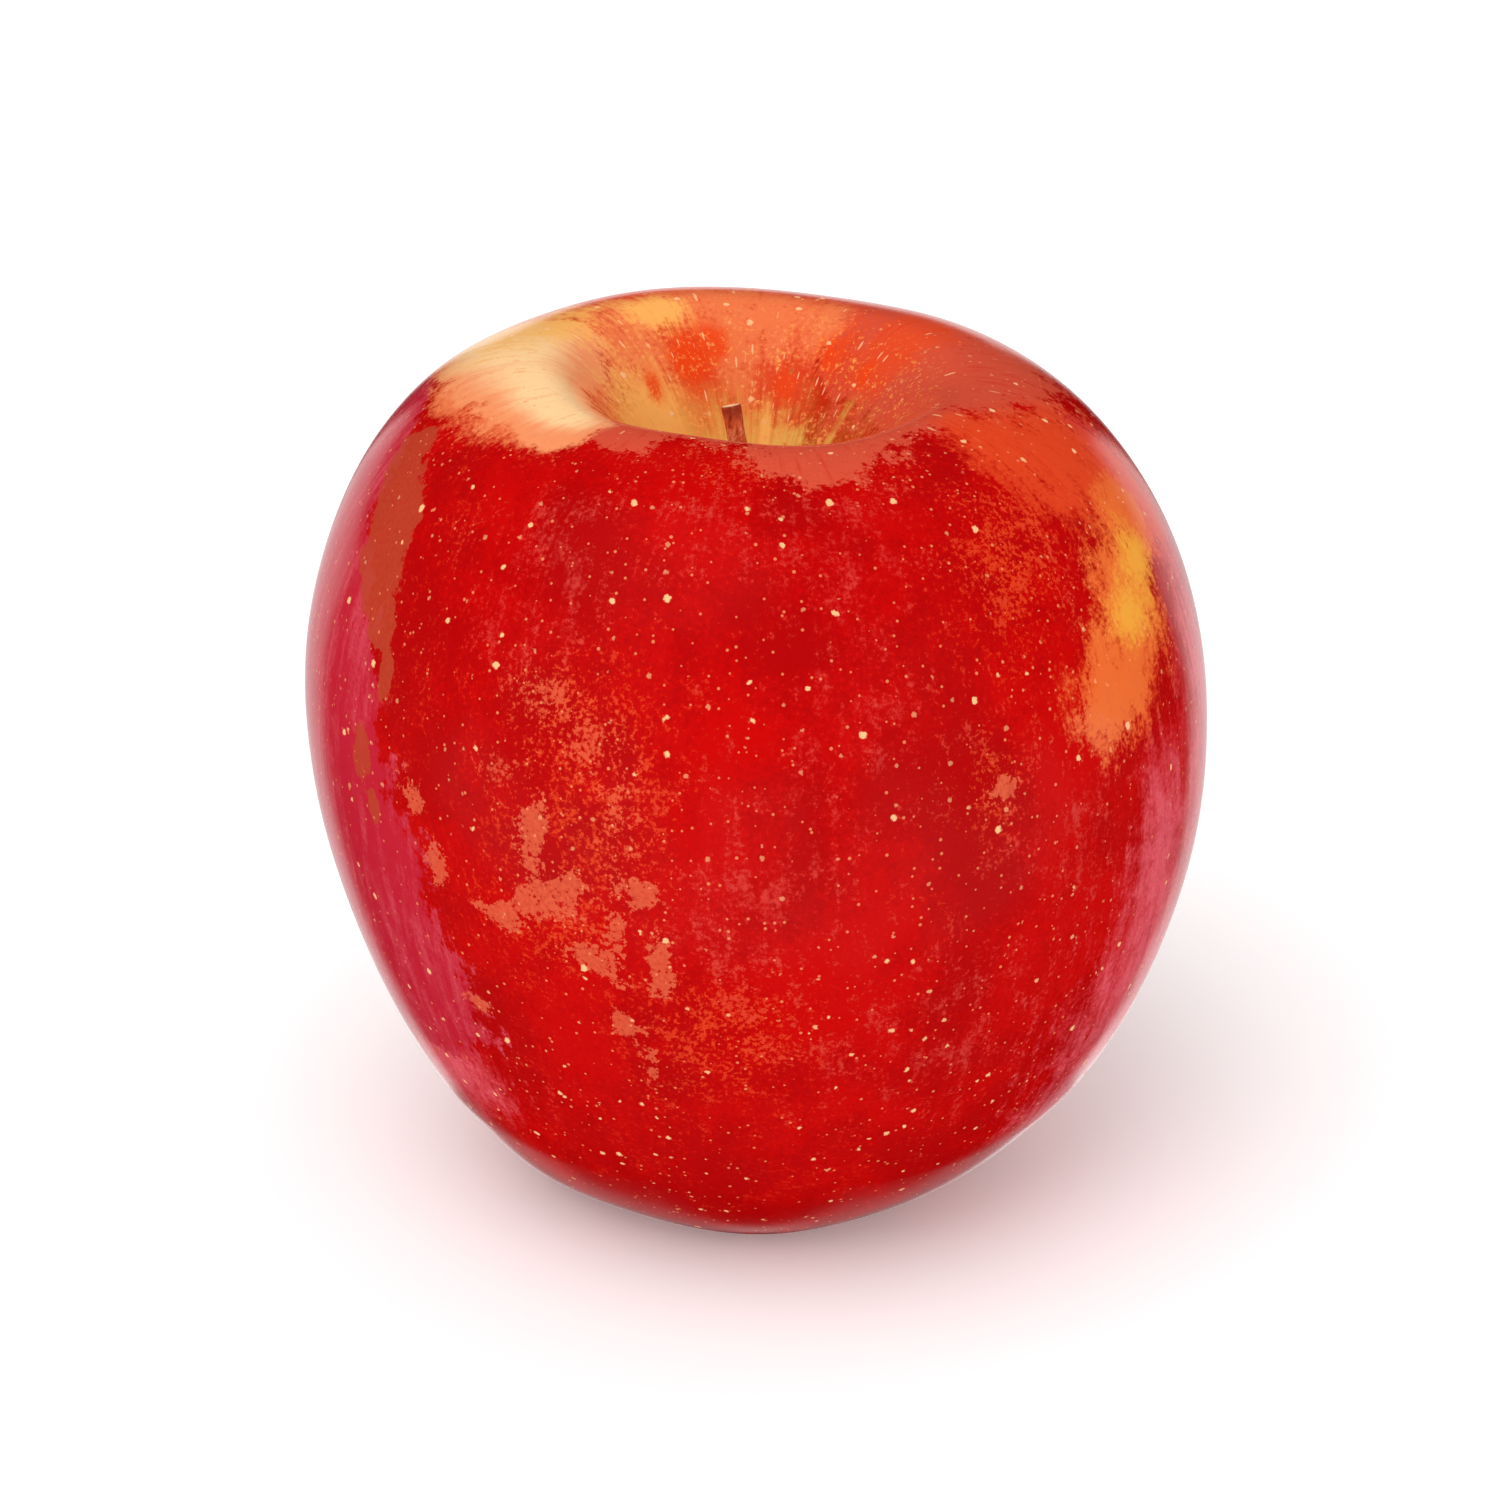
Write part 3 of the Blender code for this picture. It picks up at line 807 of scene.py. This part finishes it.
def stamen_mesh(sizes):
    """A small domed boss with a spray of dried stamens, each a thin tapered stalk with its anther."""
    low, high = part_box("stamen_tuft")
    middle = calyx_middle()
    tall = high.z - low.z
    body = bmesh.new()
    root = Vector((middle.x, middle.y, high.z))
    bmesh.ops.create_uvsphere(
        body, u_segments=BOSS_SEGMENTS, v_segments=BOSS_RINGS, radius=STAMEN_SPREAD * BOSS_WIDTH,
        matrix=Matrix.Translation(root) @ Matrix.Diagonal((1.0, 1.0, BOSS_HEIGHT, 1.0)),
    )
    golden_turn = math.tau * (3.0 - math.sqrt(5.0)) / 2.0
    for stamen in range(sizes.stamen_count):
        share = (stamen + 0.5) / sizes.stamen_count
        bearing = stamen * golden_turn
        outward = Vector((math.cos(bearing), math.sin(bearing), 0.0)) * STAMEN_SPREAD * math.sqrt(share)
        start = root + outward
        longer = (1.0 - STAMEN_SHORTEST) * math.sin(stamen * STAMEN_LENGTH_TURN) ** 2
        reach = tall * (STAMEN_SHORTEST + longer)
        end = start + outward * STAMEN_SPLAY - Vector((0.0, 0.0, reach - ANTHER_RADIUS))
        add_stalk(body, start, end)
        bmesh.ops.create_icosphere(
            body, subdivisions=ANTHER_SUBDIVISIONS, radius=ANTHER_RADIUS, matrix=Matrix.Translation(end),
        )
    mesh = bpy.data.meshes.new("dried_stamens")
    body.to_mesh(mesh)
    body.free()
    return mesh


def add_stalk(body, start, end):
    """A thin tapered rod from start to end."""
    run = end - start
    facing = run.to_track_quat("Z", "Y").to_matrix().to_4x4()
    bmesh.ops.create_cone(
        body, cap_ends=True, segments=STAMEN_SIDES, radius1=STAMEN_RADIUS * STAMEN_TAPER,
        radius2=STAMEN_RADIUS, depth=run.length, matrix=Matrix.Translation((start + end) / 2) @ facing,
    )


def sepal_material(paint):
    """Dried leaf: brown, darker towards its tip, with fine veins."""
    graph = new_graph("dried_sepal")
    here = graph.position()
    vein = graph.noise(graph.stretched(here, (2400.0, 2400.0, 500.0)), 1.0, 4.0, 0.6)
    patch = graph.noise(here, 900.0, 4.0, 0.6)
    dark = graph.step(graph.attribute("along") * 0.7 + (vein - 0.5) * 0.9 + (patch - 0.5) * 0.5, 0.25, 0.75)
    return graph.finish(
        Base_Color=graph.mix(dark, paint.leaf, paint.leaf_dark), Roughness=0.8 + vein * 0.15,
        Normal=graph.bump(vein, SEPAL_BUMP), Specular_IOR_Level=0.25,
    )


def stamen_material(paint):
    """Dried filaments, mottled between a dark brown and the sepal's brown."""
    graph = new_graph("dried_stamen")
    here = graph.position()
    mottled = graph.noise(here, 2200.0, 3.0, 0.6)
    return graph.finish(
        Base_Color=graph.mix(graph.step(mottled, 0.35, 0.7), paint.stamen, paint.leaf), Roughness=0.9,
        Normal=graph.bump(mottled, STAMEN_BUMP), Specular_IOR_Level=0.2,
    )


# ---------------------------------------------------------------- stage

FLOOR_SIZE = 6.0
PANEL_WIDTH = 0.45
PANEL_HEIGHT = 0.82
PANEL_DISTANCE = 1.0
PANEL_DROP = 0.29
PANEL_SPACING = math.radians(28.0)
LOW_PANEL_DROP = 1.15
BEHIND = math.radians(90.0)
FRONT_BEARINGS = (-150.0, -120.0, -90.0, -60.0, -30.0)
KEY_HEADING = (0.30, 0.45, -1.0)
FILL_HEADINGS = {"fill_left": (0.75, 0.75, -0.25), "fill_right": (-0.75, 0.75, -0.25)}


def add_floor(stage):
    """A wide pale floor at the resting height."""
    body = bmesh.new()
    bmesh.ops.create_grid(body, x_segments=1, y_segments=1, size=FLOOR_SIZE / 2)
    mesh = bpy.data.meshes.new("floor")
    body.to_mesh(mesh)
    body.free()
    floor = bpy.data.objects.new("floor", mesh)
    bpy.context.scene.collection.objects.link(floor)
    graph = new_graph("floor")
    mesh.materials.append(graph.finish(
        Base_Color=stage.floor_colour, Roughness=0.9, Specular_IOR_Level=0.1,
        Emission_Color=stage.floor_colour, Emission_Strength=stage.floor_glow,
    ))
    floor.visible_glossy = False


def add_sun(name, heading, strength, softness):
    """A soft sun that shines along a heading and that the skin doesn't mirror."""
    light = bpy.data.lights.new(name, "SUN")
    light.energy = strength
    light.angle = softness
    lamp = bpy.data.objects.new(name, light)
    lamp.rotation_euler = Vector(heading).to_track_quat("-Z", "Y").to_euler()
    lamp.visible_glossy = False
    bpy.context.scene.collection.objects.link(lamp)


def add_tent(stage):
    """An even white light tent, which is kept out of the skin's reflections as far as it can be."""
    world = bpy.data.worlds.new("light_tent")
    bpy.context.scene.world = world
    world.cycles_visibility.glossy = False
    Graph(world, "Background").finish(Color=(1.0, 1.0, 1.0, 1.0), Strength=stage.tent)


def add_panel(name, bearing, brightness, drop=PANEL_DROP):
    """A white panel to one side, which only lights what mirrors it."""
    light = bpy.data.lights.new(name, "AREA")
    light.shape = "RECTANGLE"
    light.size = PANEL_WIDTH
    light.size_y = PANEL_HEIGHT
    light.energy = brightness * math.pi * PANEL_WIDTH * PANEL_HEIGHT
    lamp = bpy.data.objects.new(name, light)
    lamp.location = Matrix.Rotation(bearing, 3, "Z") @ Vector((PANEL_DISTANCE, 0.0, -drop))
    lamp.rotation_euler = (-lamp.location).to_track_quat("-Z", "Z").to_euler()
    lamp.visible_camera = False
    lamp.visible_diffuse = False
    bpy.context.scene.collection.objects.link(lamp)


def add_camera(stage):
    """A long lens that looks down on the fruit from the front."""
    middle = (FRUIT_LOW + FRUIT_HIGH) / 2
    back = Vector((0.0, -math.cos(stage.elevation), math.sin(stage.elevation)))
    up = Vector((0.0, math.sin(stage.elevation), math.cos(stage.elevation)))
    aim = middle + up * stage.aim_up - Vector((stage.aim_left, 0.0, 0.0))
    data = bpy.data.cameras.new("camera")
    data.lens = stage.lens
    camera = bpy.data.objects.new("camera", data)
    camera.location = aim + back * stage.distance
    camera.rotation_euler = (-back).to_track_quat("-Z", "Y").to_euler()
    bpy.context.scene.collection.objects.link(camera)
    bpy.context.scene.camera = camera


# ---------------------------------------------------------------- operators

def add_piece(mesh, material, node):
    """Shows a finished mesh in place of its CAD node."""
    mesh.shade_smooth()
    mesh.materials.append(material)
    piece = bpy.data.objects.new(mesh.name, mesh)
    bpy.context.scene.collection.objects.link(piece)
    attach(piece, "root")
    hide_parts(node)
    return piece


class APPLE_OT_stage(bpy.types.Operator):
    """Adds the camera, the floor and the light"""

    bl_idname = "apple.stage"
    bl_label = "Stage"

    def execute(self, context):
        stage = context.scene.apple_stage
        context.scene.view_settings.view_transform = "Standard"
        add_camera(stage)
        add_floor(stage)
        add_tent(stage)
        add_sun("key", KEY_HEADING, stage.key, stage.softness)
        for name, heading in FILL_HEADINGS.items():
            add_sun(name, heading, stage.fill, stage.softness)
        add_panel("back_panel", BEHIND, stage.back_panel)
        for side, turn in (("right", -PANEL_SPACING), ("left", PANEL_SPACING)):
            add_panel(f"{side}_panel", BEHIND + turn, stage.side_panels)
            add_panel(f"low_{side}_panel", BEHIND + turn / 2, stage.other_panels, LOW_PANEL_DROP)
        for number, bearing in enumerate(FRONT_BEARINGS):
            add_panel(f"front_panel_{number}", math.radians(bearing), stage.other_panels)
        return {"FINISHED"}


class APPLE_OT_fruit(bpy.types.Operator):
    """Adds the fruit"""

    bl_idname = "apple.fruit"
    bl_label = "Fruit"

    def execute(self, context):
        settings = context.scene.apple_fruit
        add_piece(fruit_mesh(settings), skin_material(settings), "fruit")
        return {"FINISHED"}


class APPLE_OT_stem(bpy.types.Operator):
    """Adds the stem"""

    bl_idname = "apple.stem"
    bl_label = "Stem"

    def execute(self, context):
        settings = context.scene.apple_stem
        add_piece(stem_mesh(settings), bark_material(settings), "stem")
        return {"FINISHED"}


class APPLE_OT_calyx(bpy.types.Operator):
    """Adds the dried sepals and stamens in the basin"""

    bl_idname = "apple.calyx"
    bl_label = "Calyx"

    def execute(self, context):
        settings = context.scene.apple_calyx
        leaf = sepal_material(settings)
        for number in range(1, SEPAL_COUNT + 1):
            sepal = add_piece(sepal_mesh(number, settings), leaf, f"sepal_{number}")
            thickness = sepal.modifiers.new("thickness", "SOLIDIFY")
            thickness.thickness = settings.sepal_thickness
            thickness.offset = 0.0
        add_piece(stamen_mesh(settings), stamen_material(settings), "stamen_tuft")
        return {"FINISHED"}


class APPLE_PT_sidebar(bpy.types.Panel):
    """Lists the apple's pieces"""

    bl_label = "Apple"
    bl_space_type = "VIEW_3D"
    bl_region_type = "UI"
    bl_category = "Apple"

    def draw(self, context):
        for operator in OPERATORS:
            self.layout.operator(operator.bl_idname)


OPERATORS = (APPLE_OT_stage, APPLE_OT_fruit, APPLE_OT_stem, APPLE_OT_calyx)
SETTINGS = {
    "apple_fruit": FruitSettings,
    "apple_stem": StemSettings,
    "apple_calyx": CalyxSettings,
    "apple_stage": StageSettings,
}


def register():
    """Registers the settings, the operators and the panel."""
    for name, group in SETTINGS.items():
        bpy.utils.register_class(group)
        setattr(bpy.types.Scene, name, PointerProperty(type=group))
    for operator in OPERATORS:
        bpy.utils.register_class(operator)
    bpy.utils.register_class(APPLE_PT_sidebar)


def unregister():
    """Removes what register added."""
    bpy.utils.unregister_class(APPLE_PT_sidebar)
    for operator in OPERATORS:
        bpy.utils.unregister_class(operator)
    for name, group in SETTINGS.items():
        delattr(bpy.types.Scene, name)
        bpy.utils.unregister_class(group)


def main():
    """Builds the whole scene."""
    register()
    bpy.ops.apple.stage()
    bpy.ops.apple.fruit()
    bpy.ops.apple.stem()
    bpy.ops.apple.calyx()


if __name__ == "__main__":
    main()
